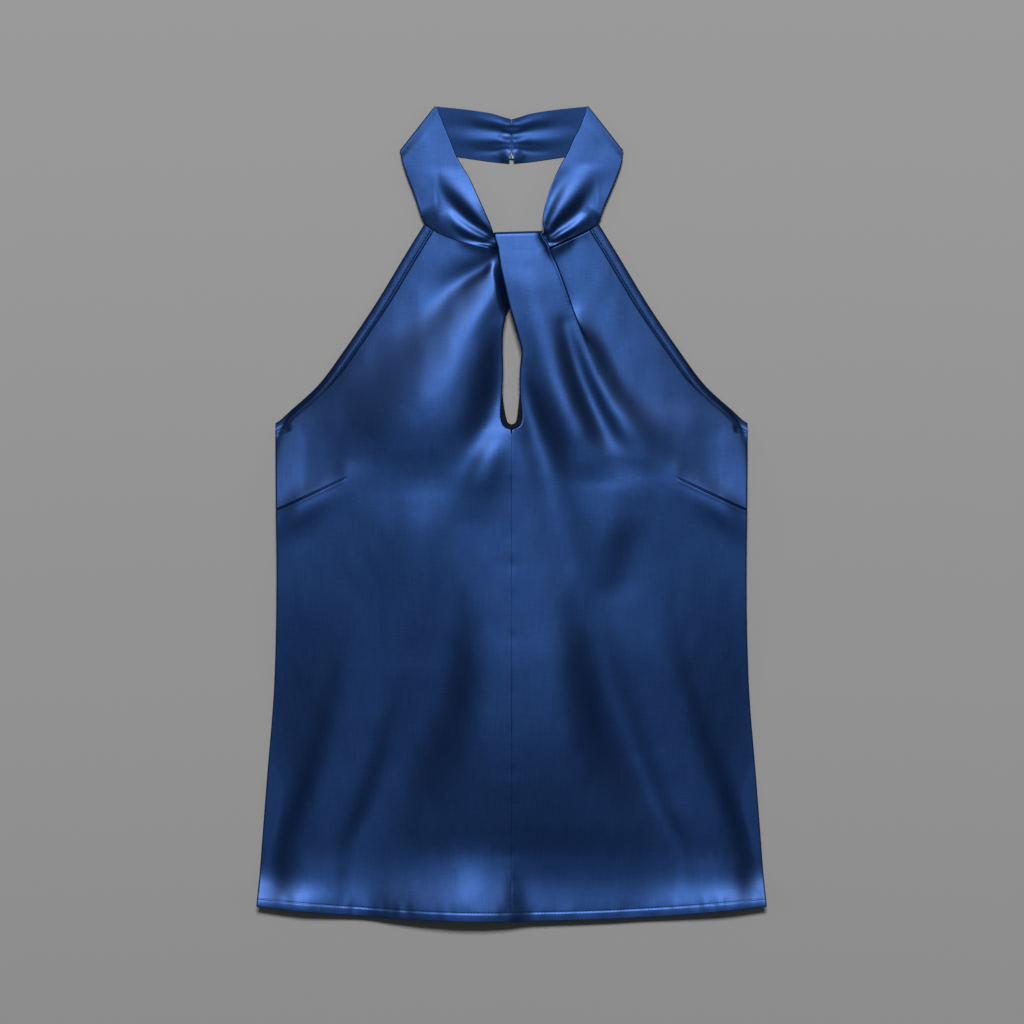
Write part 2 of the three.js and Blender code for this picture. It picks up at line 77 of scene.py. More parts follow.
# %% [markdown]
# ## Camera, floor and light
#
# A garment laid flat is looked at from straight above, through a long lens so that nothing leans. The floor
# is plain and pale.
#
# Satin is a mirror gone soft: what it shows is mostly where the lights are. One big soft light hangs over
# the neck end, so cloth that tips a little towards the neck catches it and cloth that tips away goes dark.
# That is what makes folds read. Weak, wide lights on the other sides keep the dark parts blue.

# %% Camera
LENS = 100.0
SENSOR = 36.0
VIEW_WIDTH = 891.0  # width of cloth that fills the picture
VIEW_CENTRE = (0.4, 0.9)
CLOTH_LEVEL = 10.0  # height of most of the front

camera_data = bpy.data.cameras.new("camera")
camera_data.lens = LENS
camera_data.sensor_width = SENSOR
camera = bpy.data.objects.new("camera", camera_data)
camera_height = CLOTH_LEVEL + VIEW_WIDTH * LENS / SENSOR
camera.location = (VIEW_CENTRE[0] * MM, VIEW_CENTRE[1] * MM, camera_height * MM)
bpy.context.scene.collection.objects.link(camera)
bpy.context.scene.camera = camera
bpy.context.scene.view_settings.view_transform = "Standard"  # colours come out as they are set
print("camera height in metres:", round(camera.location.z, 3))

# %% Colours and nodes
def hex_colour(code):
    """An sRGB hex colour such as '#1B3F8B' as linear red, green, blue and alpha."""
    parts = [int(code[i:i + 2], 16) / 255 for i in (1, 3, 5)]
    linear = [c / 12.92 if c <= 0.04045 else ((c + 0.055) / 1.055) ** 2.4 for c in parts]
    return (*linear, 1.0)


def add_node(tree, kind, settings=None, **links):
    """Adds a shader node. Settings are its own properties, and links are its inputs by name or by place: a
    value sets an input, and an output socket is wired to it."""
    node = tree.nodes.new(kind)
    for name, value in (settings or {}).items():
        setattr(node, name, value)
    for name, value in links.items():
        key = int(name[1:]) if name[1:].isdigit() else name.replace("_", " ")
        socket = node.inputs[key]
        if isinstance(value, bpy.types.NodeSocket):
            tree.links.new(value, socket)
        else:
            socket.default_value = value
    return node


def new_material(name):
    """An empty material with its output node."""
    material = bpy.data.materials.new(name)
    material.use_nodes = True
    material.node_tree.nodes.clear()
    output = material.node_tree.nodes.new("ShaderNodeOutputMaterial")
    return material, material.node_tree, output

# %% Floor
FLOOR_SIZE = 6000.0

floor_material, tree, output = new_material("plain matt paper")
surface = add_node(tree, "ShaderNodeBsdfPrincipled", Base_Color=hex_colour("#B6B6B5"), Roughness=0.9)
tree.links.new(surface.outputs[0], output.inputs[0])

half = FLOOR_SIZE / 2 * MM
floor_mesh = bpy.data.meshes.new("floor")
floor_mesh.from_pydata([(-half, -half, 0), (half, -half, 0), (half, half, 0), (-half, half, 0)], [], [(0, 1, 2, 3)])
floor_mesh.materials.append(floor_material)
floor = bpy.data.objects.new("floor", floor_mesh)
bpy.context.scene.collection.objects.link(floor)

# %% Lights
SUBJECT = (0.0, 0.0, CLOTH_LEVEL)


def soft_light(name, tilt, turn, distance, size, power, colour="#FFFFFF"):
    """A square area light that faces the top, `tilt` degrees from overhead, on the side that `turn` gives:
    0 is the neck end, 90 the wearer's left."""
    data = bpy.data.lights.new(name, "AREA")
    data.shape = "RECTANGLE"
    data.size = size[0] * MM
    data.size_y = size[1] * MM
    data.energy = power
    data.color = hex_colour(colour)[:3]
    light = bpy.data.objects.new(name, data)
    away = math.radians(tilt)
    side = math.radians(turn)
    light.location = (
        distance * MM * math.sin(away) * math.sin(side),
        distance * MM * math.sin(away) * math.cos(side),
        distance * MM * math.cos(away),
    )
    light.rotation_euler = (-away, 0, -side)
    light.rotation_euler.order = "XYZ"
    bpy.context.scene.collection.objects.link(light)
    print(name, "at", [round(v, 2) for v in light.location])


soft_light("key", tilt=31, turn=0, distance=8000, size=(2400, 1840), power=480)
soft_light("left fill", tilt=66, turn=90, distance=3000, size=(1500, 1500), power=6)
soft_light("right fill", tilt=66, turn=-90, distance=3000, size=(1500, 1500), power=6)

world = bpy.data.worlds.new("studio")
bpy.context.scene.world = world
world.use_nodes = True
world.node_tree.nodes["Background"].inputs["Color"].default_value = hex_colour("#DDE3EC")
world.node_tree.nodes["Background"].inputs["Strength"].default_value = 0.05

# %% [markdown]
# ## Small tools for cloth
#
# Cloth is a sheet, so each piece is a grid of points and squares between them, moved out to a thin shell.
# Three small tools do most of the work: a table that is read smoothly between its rows, a ridge or trough
# that runs along a line, and soft noise for the unevenness that no real cloth is without.

# %% Reading tables
def lerp(a, b, t):
    """The value a share t of the way from a to b."""
    return a + (b - a) * t


def ease(t):
    """A smooth step from 0 to 1 as t goes from 0 to 1."""
    t = np.clip(t, 0.0, 1.0)
    return t * t * (3 - 2 * t)


def read_table(rows, at, level_ends=False):
    """The second column at `at` in the first, smooth between rows that are in rising order. With `level_ends`
    it also runs level into both ends."""
    keys = np.array([row[0] for row in rows], dtype=float)
    values = np.array([row[1] for row in rows], dtype=float)
    at = np.clip(np.asarray(at, dtype=float), keys[0], keys[-1])
    slopes = np.empty_like(values)
    slopes[1:-1] = (values[2:] - values[:-2]) / (keys[2:] - keys[:-2])
    slopes[0] = 0 if level_ends else (values[1] - values[0]) / (keys[1] - keys[0])
    slopes[-1] = 0 if level_ends else (values[-1] - values[-2]) / (keys[-1] - keys[-2])
    i = np.clip(np.searchsorted(keys, at, side="right") - 1, 0, len(keys) - 2)
    span = keys[i + 1] - keys[i]
    t = (at - keys[i]) / span
    return (
        lerp(values[i], values[i + 1], t * t * (3 - 2 * t))
        + slopes[i] * span * t * (1 - t) ** 2
        + slopes[i + 1] * span * t * t * (t - 1)
    )


def smooth_path(points, per_span=6):
    """Points on a smooth curve through the rows of a table, with every column carried along."""
    points = np.array(points, dtype=float)
    padded = np.vstack([2 * points[0] - points[1], points, 2 * points[-1] - points[-2]])
    spans = []
    for i in range(1, len(padded) - 2):
        a, b, c, d = padded[i - 1:i + 3]
        t = np.linspace(0, 1, per_span, endpoint=False)[:, None]
        spans.append(0.5 * (2 * b + (c - a) * t + (2 * a - 5 * b + 4 * c - d) * t**2 + (3 * (b - c) + d - a) * t**3))
    return np.vstack([*spans, points[-1:]])

# %% Ridges, troughs and noise
def fold_height(line, x, y, power=2):
    """Height of one soft ridge (up above 0) or trough (below 0). Each row of its line is x, y, up, half width,
    and if the far side is wider or narrower, the half width there. The width is measured straight across: along
    X if the line runs more up than sideways, or else along Y. A power of 4 gives a flat top."""
    line = np.array(line, dtype=float)
    upright = abs(line[-1, 1] - line[0, 1]) >= abs(line[-1, 0] - line[0, 0])
    along, across = (1, 0) if upright else (0, 1)
    line = line[np.argsort(line[:, along])]
    place, offset = (y, x) if upright else (x, y)
    centre, up, near, far = (read_table(line[:, [along, i]], place, True) for i in (across, 2, 3, -1))
    half_width = np.where(offset > centre, far, near)
    beyond = np.maximum(line[0, along] - place, place - line[-1, along]).clip(0) / half_width
    return up * np.exp(-(np.abs(offset - centre) / half_width) ** power - beyond**2)


def all_folds(folds, x, y, power=2):
    """Sum of the folds of a table, which gives each one's line by its name."""
    return sum((fold_height(line, x, y, power) for line in folds.values()), np.zeros(x.shape))


def soft_noise(x, y, size, seed):
    """Smooth bumps between -1 and 1, about `size` across in each direction."""
    values = np.random.RandomState(seed).uniform(-1, 1, (64, 64))
    u = x / size[0] + 31
    v = y / size[1] + 31
    i = np.floor(u).astype(int)
    j = np.floor(v).astype(int)
    s = ease(u - i)
    t = ease(v - j)
    low = lerp(values[i % 64, j % 64], values[(i + 1) % 64, j % 64], s)
    high = lerp(values[i % 64, (j + 1) % 64], values[(i + 1) % 64, (j + 1) % 64], s)
    return lerp(low, high, t)


def edge_roll(distance, radius):
    """How far the cloth drops as it rounds over a turned edge, at a distance in from that edge."""
    inward = np.clip(1 - distance / radius, 0, 1)
    return -radius * (1 - np.sqrt(1 - inward**2))

# %% Sheets of squares with a thin wall
CLOTH = 0.4  # thickness of the satin


def grid_squares(rows, columns, first=0):
    """The squares of a grid of points that is stored row by row."""
    k = first + np.arange((rows - 1) * columns).reshape(rows - 1, columns)[:, :-1].ravel()
    return np.stack([k, k + 1, k + 1 + columns, k + columns], axis=1)


def point_normals(points, squares):
    """The normal at each point, from the squares around it."""
    a, b, c, d = (points[squares[:, i]] for i in range(4))
    across = np.cross(c - a, d - b)
    normals = np.zeros_like(points)
    for i in range(4):
        np.add.at(normals, squares[:, i], across)
    return normals / np.linalg.norm(normals, axis=1, keepdims=True)


def cloth_piece(name, points, squares, node, material, above=0.0, below=CLOTH):
    """A closed thin shell from a sheet: `above` and `below` are its faces' distances from the points."""
    normals = point_normals(points, squares)
    count = len(points)
    both = np.vstack([points + above * normals, points - below * normals]) * MM
    edges = np.vstack([squares[:, [i, (i + 1) % 4]] for i in range(4)])
    codes = edges[:, 0] * count + edges[:, 1]
    reverse = edges[:, 1] * count + edges[:, 0]
    rim = edges[~np.isin(codes, reverse)]
    walls = np.stack([rim[:, 1], rim[:, 0], rim[:, 0] + count, rim[:, 1] + count], axis=1)
    faces = np.vstack([squares, squares[:, ::-1] + count, walls])
    mesh = bpy.data.meshes.new(name)
    mesh.from_pydata(both.tolist(), [], faces.tolist())
    mesh.polygons.foreach_set("use_smooth", np.ones(len(faces), dtype=bool))
    mesh.set_sharp_from_angle(angle=math.radians(50))
    mesh.materials.append(material)
    piece = bpy.data.objects.new(name, mesh)
    bpy.context.scene.collection.objects.link(piece)
    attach(piece, "root")
    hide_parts(node)
    print(f"{name}: {2 * len(faces)} triangles")
    return piece

# %% [markdown]
# ## Materials
#
# Satin weaves long, flat, dyed yarns over the face of the cloth. Light slides off their tops in a broad,
# tinted sheen, and what goes between them comes back as deep colour. A plain plastic shader gives a white
# gloss, so this one is part metal: that part reflects in the dye's own colour, as the floating yarns do.
# The yarns run along the top's length and stretch the highlight a little across it.

# %% Satin
YARN = 0.25  # real yarn spacing
DRAWN_YARN = 4 * YARN  # the real one is finer than a picture of the whole top can show

def satin_material(name, deep, bright):
    material, tree, output = new_material(name)
    where = add_node(tree, "ShaderNodeTexCoord")
    place = where.outputs["Object"]
    stretch = add_node(tree, "ShaderNodeMapping", Vector=place, Scale=(1 / (DRAWN_YARN * MM), 1 / (22 * MM), 1))
    yarns = add_node(tree, "ShaderNodeTexNoise", Vector=stretch.outputs[0], Scale=1.0, Detail=2.0)
    weft = add_node(tree, "ShaderNodeMapping", Vector=place, Scale=(1 / (9 * MM), 1 / (DRAWN_YARN * MM), 1))
    picks = add_node(tree, "ShaderNodeTexNoise", Vector=weft.outputs[0], Scale=1.0, Detail=2.0)
    both = add_node(tree, "ShaderNodeMath", {"operation": "ADD"}, _0=yarns.outputs[0], _1=picks.outputs[0])
    shade = add_node(tree, "ShaderNodeMapRange", Value=both.outputs[0], From_Min=0.7, From_Max=1.3)
    colour = add_node(tree, "ShaderNodeMix", {"data_type": "RGBA"}, Factor=shade.outputs[0])
    colour.inputs[6].default_value = hex_colour(deep)
    colour.inputs[7].default_value = hex_colour(bright)
    relief = add_node(
        tree, "ShaderNodeBump", Strength=0.1, Distance=0.02 * MM, Height=both.outputs[0],
    )
    along = add_node(tree, "ShaderNodeCombineXYZ", Y=1.0)
    surface = add_node(
        tree, "ShaderNodeBsdfPrincipled", Base_Color=colour.outputs[2], Normal=relief.outputs[0],
        Metallic=0.9, Roughness=0.39, Anisotropic=0.55, Tangent=along.outputs[0],
        Coat_Weight=0.2, Coat_Roughness=0.34,
    )
    tree.links.new(surface.outputs[0], output.inputs[0])
    return material


satin = satin_material("woven polyester satin", "#1A3A6E", "#21437B")

# %% The satin's reverse darkened as painted shade, thread and metal
def plain_material(name, colour, roughness, metallic=0.0):
    material, tree, output = new_material(name)
    surface = add_node(
        tree, "ShaderNodeBsdfPrincipled", Base_Color=hex_colour(colour), Roughness=roughness, Metallic=metallic,
    )
    tree.links.new(surface.outputs[0], output.inputs[0])
    return material


# The facing's near-black colour is painted shade: it is far darker than the satin's dye, and stands in for the shade at
# the keyhole's foot.
reverse = plain_material("satin reverse, dull, painted shade", "#050A20", 1.0)
thread = plain_material("twisted polyester thread", "#0E1F50", 0.55)
nickel = plain_material("nickel-plated wire", "#C9CED6", 0.28, 1.0)

# %% [markdown]
# ## Outlines
#
# A pattern cutter knows a top by a few widths: hem, waist, underarm, and the slope of the armhole. The same
# few rows are used here, at the model's own size, and read smoothly between.

# %% Side seam and armhole
low, high = (np.array(corner) / MM for corner in cad_box)
HEM = low[1]
HALF_HEM = high[0]
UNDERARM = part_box("armhole_binding_left")[0][1] / MM
SIDE_FOOT = HEM + 13.0
BINDING = 8.0
SEAM_GAP = 0.3
KEYHOLE_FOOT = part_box("keyhole_facing")[0][1] / MM + 4.2

SIDE_EDGE = [  # height, half width
    (SIDE_FOOT, HALF_HEM),
    (-230, 213.5),
    (-150, 207),
    (-60, 204.5),
    (UNDERARM, 206),
]
ARMHOLE_EDGE = [  # height, half width
    (UNDERARM + BINDING, 206),
    (82, 201),
    (90, 192.5),
    (112, 168.5),
    (140, 147.5),
    (182, 119),
    (224, 93.5),
    (251.5, 76.5),
]


def side_half(y):
    return read_table(SIDE_EDGE, y)


def half_width(y):
    return np.where(y < UNDERARM + BINDING, side_half(y), read_table(ARMHOLE_EDGE, y))


arm_path = smooth_path([(half, y) for y, half in ARMHOLE_EDGE], per_span=24)
arm_length = np.concatenate([[0], np.cumsum(np.linalg.norm(np.diff(arm_path, axis=0), axis=1))])
ARM_LENGTH = arm_length[-1]
print("armhole edge:", round(ARM_LENGTH, 1), "mm")


def armhole_point(share, inset):
    """The point `inset` in from the armhole's edge, a share of the way up from the side seam."""
    share = np.asarray(share, dtype=float)
    at = share * ARM_LENGTH
    x, y = (np.interp(at, arm_length, arm_path[:, i]) for i in range(2))
    dx, dy = (np.interp(at + 2, arm_length, arm_path[:, i]) - np.interp(at - 2, arm_length, arm_path[:, i]) for i in range(2))
    straight = ease(share / 0.12)
    nx = lerp(0.0, -dy, straight)
    ny = lerp(-1.0, dx, straight)
    size = np.hypot(nx, ny)
    return x + inset * nx / size, y + inset * ny / size

# %% Keyhole and strap
INNER_EDGE = {  # height, x: the right half goes on under the strap, and the left half's edge is the strap's
    RIGHT: [
        (KEYHOLE_FOOT, -0.05), (KEYHOLE_FOOT + 0.6, -2.6), (KEYHOLE_FOOT + 2.2, -5.4), (KEYHOLE_FOOT + 5, -7.6),
        (KEYHOLE_FOOT + 12, -9.0), (98, -8.4), (122, -7.2), (145, -7.6), (160, -7.0), (172, -4.8), (184, -1.6),
        (200, 6), (229, 14),
    ],
    LEFT: [
        (KEYHOLE_FOOT, 0.05), (KEYHOLE_FOOT + 0.6, 2.8), (KEYHOLE_FOOT + 2.2, 5.6), (KEYHOLE_FOOT + 5, 7.8),
        (KEYHOLE_FOOT + 12, 8.9), (98, 7.6), (116, 6.8), (132, 7.8), (141, 8.6), (150, 6.6), (158, 4.4),
        (170, 0.8), (180, -2), (197, -6), (213, -9.6), (222, -11), (233, -12.6),
    ],
}
STRAP_FOLD = [  # height, x: the strap's other edge, a fold that opens into a ridge lower down
    (-60, 104), (40, 101), (78, 95.5), (94, 86.5), (120, 74.4), (150, 62.3), (168, 55.5), (182, 50.8), (203, 43.9),
    (215, 39.6), (230, 33.0), (240, 29.4), (246, 26.4),
]


def inner_x(side, y):
    return np.where(y <= KEYHOLE_FOOT, side * 0.02, read_table(INNER_EDGE[side], y))


def strap_fold_x(y):
    return read_table(STRAP_FOLD, y)

# %% [markdown]
# ## Folds
#
# Cloth that is gathered into a twist breaks into ridges that fan out from it, deep and narrow at the twist
# and soft lower down. Each fold is listed: a line, how high it stands or how deep it sinks along that
# line, and how wide it is. No two are alike, as in real cloth.

# %% Folds of the fronts
FRONT_FOLDS = {  # x, y, up, half width
    RIGHT: {
        "ridge from the twist": [
            (-5, 220, 0.2, 9, 5), (-11, 206, 1.2, 15, 9), (-21, 187, 2.8, 24, 15), (-33, 169, 4.3, 34, 21),
            (-43, 152, 5.5, 44, 27), (-52, 132, 6.6, 52, 33), (-61, 113, 7.4, 58, 39), (-70, 96, 7.5, 56, 46),
            (-77, 78, 6.4, 50, 54), (-82, 58, 3.9, 46, 60), (-85, 40, 1.5, 42, 60), (-87, 22, 0.2, 40, 60),
            (-88, 8, 0.0, 40, 60),
        ],
        "fall to the keyhole": [
            (-7, 168, 0.0, 9), (-8, 150, -1.0, 11), (-9, 128, -2.5, 14), (-10, 106, -3.7, 17), (-15, 86, -3.5, 19),
            (-23, 66, -2.7, 21), (-29, 46, -1.3, 23), (-33, 26, -0.3, 24), (-36, 8, 0.0, 24),
        ],
        "wedge over the ridge": [
            (-10, 223, -0.8, 5), (-26, 214, -2.0, 8), (-40, 207, -2.5, 11), (-54, 200, -1.9, 14), (-68, 193, -0.7, 17),
            (-82, 187, 0.0, 19),
        ],
        "rise to the band": [(-10, 234, 2.4, 8), (-24, 236, 2.4, 8), (-38, 240, 1.4, 8), (-54, 247, 0.2, 7)],
    },
    LEFT: {
        "rise to the band": [(36, 232, 2.0, 7), (48, 238, 1.4, 7), (60, 245, 0.5, 6)],
        "crown of the strap": [
            (10, 216, 0.2, 12), (17, 194, 0.8, 14), (26, 162, 1.8, 16), (36, 124, 3.2, 18), (45, 98, 4.2, 19),
            (56, 72, 4.0, 20), (66, 46, 2.0, 22), (74, 24, 0.2, 24),
        ],
        "trough by the keyhole": [
            (9, 126, -0.4, 7), (12, 102, -1.5, 10), (18, 80, -2.4, 12), (26, 55, -2.6, 14), (33, 30, -2.2, 16),
            (39, -5, -1.6, 18), (45, -40, -1.1, 20), (52, -80, -0.2, 22),
        ],
        "trough beside the strap": [
            (47, 164, -0.6, 7), (58, 124, -1.3, 9), (69, 98, -1.6, 11), (82, 70, -1.5, 13), (92, 48, -0.4, 15),
        ],
        "ridge from the strap's fold": [
            (57, 172, 0.2, 6, 6), (64, 150, 1.0, 8, 9), (74, 122, 2.0, 11, 14), (86, 98, 3.0, 14, 18),
            (99, 74, 3.2, 17, 22), (109, 50, 1.4, 21, 25), (115, 30, 0.0, 24, 26),
        ],
    },
}
BODY_FOLDS = {
    "swell under the keyhole": [
        (-9, 84, 0.2, 9), (-14, 66, 1.2, 12), (-21, 46, 2.7, 15), (-27, 28, 2.6, 18), (-32, 8, 1.0, 22), (-35, -12, 0, 24),
    ],
    "dart rise, right": [(-212, -9, 2.6, 17), (-175, 9, 2.8, 17), (-146, 25, 1.2, 17), (-118, 36, 0.0, 17)],
    "dart rise, left": [(212, -9, 2.6, 17), (175, 9, 2.8, 17), (146, 25, 1.2, 17), (118, 36, 0.0, 17)],
    "right chest": [(-76, 34, 0.0, 26), (-77, 8, 1.4, 28), (-79, -16, 2.6, 30), (-82, -50, 2.4, 32), (-86, -90, 1.2, 34), (-90, -130, 0, 36)],
    "left chest": [(94, 44, 0.0, 24), (90, 16, 1.2, 25), (84, -16, 1.8, 25), (78, -50, 1.0, 25), (76, -80, 0, 25)],
    "left side dimple": [(106, 0, -0.2, 15), (103, -30, -1.2, 17), (99, -56, -1.2, 18), (92, -84, -0.1, 18)],
}
BODY_SWELLS = {  # broad, flat-topped parts of the body
    "middle": [
        (-2, 20, 0.0, 40), (-2, -20, 0.8, 44), (2, -60, 2.6, 48), (7, -100, 4.9, 51), (9, -135, 7.4, 54),
        (10, -165, 9.2, 61), (10, -200, 10.6, 73), (12, -235, 10.4, 88), (16, -268, 8.0, 104), (22, -302, 3.6, 116),
        (26, -350, 0.4, 120),
    ],
    "right flare": [
        (-106, -60, 0.0, 32), (-119, -120, 0.9, 32), (-138, -190, 2.2, 30), (-156, -250, 3.6, 30), (-174, -305, 2.2, 28),
    ],
    "left flare": [
        (106, -60, 0.0, 30), (116, -120, 1.6, 30), (138, -190, 2.6, 31), (162, -255, 3.8, 30), (180, -305, 2.2, 26),
    ],
}

# %% The front's height
CROWN = [  # height up the top, height of the cloth over the floor down its middle
    (-356, 5.2), (-290, 3.6), (-240, 3.8), (-170, 8.0), (-120, 11.2), (-40, 14.4), (30, 16.0), (60, 15.4),
    (120, 12.2), (180, 9.5), (215, 8.5), (240, 7.8), (255, 7.4),
]
ROLL_WIDTH = [  # height up the top, width over which the cloth comes down to the side
    (-356, 40), (-300, 46), (-240, 54), (-180, 64), (-120, 80), (-60, 84), (20, 70), (75, 80),
]
SIDE_LEVEL = [  # height up the top, height of the cloth at its side
    (-356, 3.4), (-300, 1.9), (-230, 2.0), (-170, 4.2), (-120, 8.0), (-80, 10.8), (-45, 12.1), (-10, 12.5), (14, 11.6),
    (55, 7.0), (90, 2.9), (110, 2.7), (180, 3.6), (255, 4.6),
]
PROFILE_HALF = [  # height up the top, half width of its cross-section: the outline's, without its corners
    (-356, 222), (-230, 213.5), (-150, 207), (-60, 204.5), (20, 207), (60, 205), (85, 194), (112, 170), (140, 149),
    (182, 120), (224, 94.5), (255, 75),
]
SIDE_LEDGE = [(-160, 0), (-60, 14), (0, 24), (60, 24), (85, 10), (255, 0)]  # height up the top, level part at the side
HEM_RISE = [  # x, how far the hem's edge lifts, how far in the lift reaches
    (-222, 8.6, 18), (-185, 8.0, 21), (-155, 5.0, 24), (-128, 3.4, 24), (-104, 6.6, 28), (-70, 10.6, 36),
    (-40, 12.6, 42), (-8, 10.6, 38), (16, 6.0, 30), (60, 4.4, 28), (110, 4.0, 26), (140, 5.4, 24), (180, 7.8, 22),
    (222, 8.6, 18),
]


def front_height(side, x, y):
    """Height of one half's face, before the strap and the stitched details."""
    span = read_table(PROFILE_HALF, y)
    from_edge = np.maximum(span - np.abs(x), 0)
    roll = ease((from_edge - read_table(SIDE_LEDGE, y)) / read_table(ROLL_WIDTH, y)) ** 0.8
    chest = ease((y + 50) / 190)  # over the chest the cloth only slopes, all the way out to the armhole
    roll = lerp(roll, np.sin(np.clip(from_edge / span, 0, 1) * math.pi / 2) ** 0.6, chest)
    height = lerp(read_table(SIDE_LEVEL, y), read_table(CROWN, y), roll)
    folds = all_folds(FRONT_FOLDS[side], x, y) + all_folds(BODY_FOLDS, x, y) + all_folds(BODY_SWELLS, x, y, 4)
    height = height + folds * lerp(0.5, 1.0, ease(from_edge / 25))
    hem_y = lerp(HEM, SIDE_FOOT, (np.abs(x) / HALF_HEM) ** 2.1)
    lift = read_table([row[:2] for row in HEM_RISE], x)
    reach = read_table([row[::2] for row in HEM_RISE], x)
    height = height + lift * np.exp(-(((y - hem_y) / reach) ** 2))
    unevenness = 0.3 * soft_noise(x, y, (42, 70), 3) + 0.09 * soft_noise(x, y, (13, 20), 5)
    return np.maximum(height + unevenness * np.clip(from_edge / 20, 0, 1), 2.3)


# %% Stitched details of the fronts
HEM_TURNING = 7.6  # depth of the turned and stitched hem
DART_TIP = (146.6, 31.0)
DART_MOUTH_Y = 2.6


def stitched_details(side, x, y, inner, outer_share, from_hem, across_dart):
    """Grooves and puckers along stitching: the hem, the middle seam and the bust dart."""
    groove = -0.28 * np.exp(-((from_hem - HEM_TURNING) / 0.7) ** 2)
    turning = 0.3 * (1 - ease((from_hem - HEM_TURNING + 0.6) / 1.6))
    ripple = 0.2 * soft_noise(x, 0 * y, (6.5, 1), 11) * np.exp(-((from_hem - HEM_TURNING) / 6) ** 2)
    seam = np.exp(-np.abs(x) / 5) * (y < KEYHOLE_FOOT + 4)
    middle = 0.22 * seam * soft_noise(0 * x, y, (1, 9), 13)
    in_dart = ease((outer_share - 0.70) / 0.02)
    strength = in_dart * lerp(0.55, 1.0, ease((outer_share - 0.7) / 0.2))
    crease = -0.7 * np.exp(-((across_dart / 0.7) ** 2)) + 0.4 * np.exp(-(((across_dart + 2.2) / 1.6) ** 2))
    tip = 0.25 * np.exp(-(((np.abs(x) - DART_TIP[0] + 2.5) / 7) ** 2) - ((y - DART_TIP[1] - 7) / 8) ** 2)
    return groove + turning + ripple + middle + strength * crease + tip

# %% Stitches
STITCH_PITCH = 3.0
STITCH_LENGTH = 2.1
THREAD_WIDTH = 0.42
stitch_points, stitch_faces = [], []


def topstitch(path):
    """Lays short threads end to end along a line of points, each sunk halfway into the cloth."""
    steps = np.linalg.norm(np.diff(path, axis=0), axis=1)
    length = np.concatenate([[0], np.cumsum(steps)])
    for start in np.arange(STITCH_PITCH / 2, length[-1] - STITCH_PITCH, STITCH_PITCH):
        ends = [np.array([np.interp(at, length, path[:, i]) for i in range(3)]) for at in (start, start + STITCH_LENGTH)]
        along = (ends[1] - ends[0]) / np.linalg.norm(ends[1] - ends[0])
        across = np.array([-along[1], along[0], 0]) * THREAD_WIDTH / 2
        up = np.array([0, 0, THREAD_WIDTH / 2])
        middle = (ends[0] + ends[1]) / 2 + 0.6 * up
        first = len(stitch_points)
        stitch_points.extend([ends[0] - up, middle - across, middle + across, ends[1] - up, middle + up, middle - up])
        for a, b, c in ((0, 1, 4), (0, 4, 2), (0, 5, 1), (0, 2, 5), (3, 4, 1), (3, 2, 4), (3, 1, 5), (3, 5, 2)):
            stitch_faces.append((first + a, first + b, first + c))


# %% [markdown]
# ## The fronts
#
# Each front is a grid whose rows run from the middle out to the side. The rows bunch up where something
# fine is stitched, and one row lies along the bust dart, so a crease less than a millimetre wide comes out
# crisp without a million squares.

# %% Rows of the fronts
def spread(stops):
    """Positions from a table of start and step, up to the last start."""
    parts = [np.arange(a, b - step * 0.4, step) for (a, step), (b, _) in zip(stops[:-1], stops[1:])]
    return np.concatenate([*parts, [stops[-1][0]]])


ROW_STOPS = [  # inner height, step
    (HEM, 0.3), (HEM + 1.5, 1.0), (HEM + 5.6, 0.45), (HEM + 9.6, 1.5), (HEM + 20, 3.0), (14, 1.6), (27, 0.8),
    (29.6, 0.35), (32.4, 0.8), (36, 1.8), (KEYHOLE_FOOT - 0.2, 0.4), (KEYHOLE_FOOT + 3, 1.0), (84, 2.0),
    (160, 1.7), (226.5, 0.3), (228.5, 0),
]
OUTER_LEVEL = [  # inner height, height at the side seam
    (HEM, SIDE_FOOT), (-260, -252), (-120, -117), (-40, -45), (31, DART_MOUTH_Y), (KEYHOLE_FOOT, UNDERARM - SEAM_GAP),
]
ARM_SHARE = [(KEYHOLE_FOOT, 0), (82, 0.14), (162, 0.62), (228.5, 1)]  # inner height, share of the armhole

row_inner = spread(ROW_STOPS)
on_arm = row_inner > KEYHOLE_FOOT
arm_x, arm_y = armhole_point(read_table(ARM_SHARE, row_inner), BINDING + SEAM_GAP)
row_outer_y = np.where(on_arm, arm_y, read_table(OUTER_LEVEL, row_inner))
row_outer_x = np.where(on_arm, arm_x, side_half(row_outer_y))
print(len(row_inner), "rows in each front")


def rise_across(side, inner, share):
    """How much of a row's climb from the middle to the side is done at a share of the way out."""
    bow = np.clip(share, 0, 1) ** 2.1
    dart = ease(np.clip(share - 0.68, 0, 0.04) / 0.04) * np.clip((share - 0.70) / 0.30, 0, 1)
    near_dart = np.exp(-(((inner - 31) / 38) ** 2))
    body = lerp(bow, dart, near_dart)
    if side == RIGHT:
        return body
    seam = np.clip((share - 0.5) / 0.5, 0, 1) ** 1.15
    return lerp(body, seam, ease((inner - 130) / 90))


def front_details(side, x, y, share):
    """Edge rolls and stitched details over a grid of points, rows from the hem up."""
    inner = row_inner[:, None] + 0 * x
    from_hem = inner - HEM
    stretch = np.gradient(y, axis=0) / np.gradient(row_inner)[:, None]
    across_dart = (inner - 31) * stretch
    from_side = (half_width(y) - np.abs(x)) * np.where(y > UNDERARM, 0.75, 1.0)
    on_side = (inner <= KEYHOLE_FOOT) * edge_roll(from_side, 0.9)
    on_arm_seam = (inner > KEYHOLE_FOOT) * edge_roll(np.maximum(from_side - BINDING - SEAM_GAP, 0), 0.5)
    hem_edge = edge_roll(from_hem, 0.8)
    details = stitched_details(side, x, y, inner, share, from_hem, across_dart)
    return details + on_side + on_arm_seam + hem_edge


top_edge_roll = edge_roll(row_inner[-1] - row_inner, 0.6)[:, None]

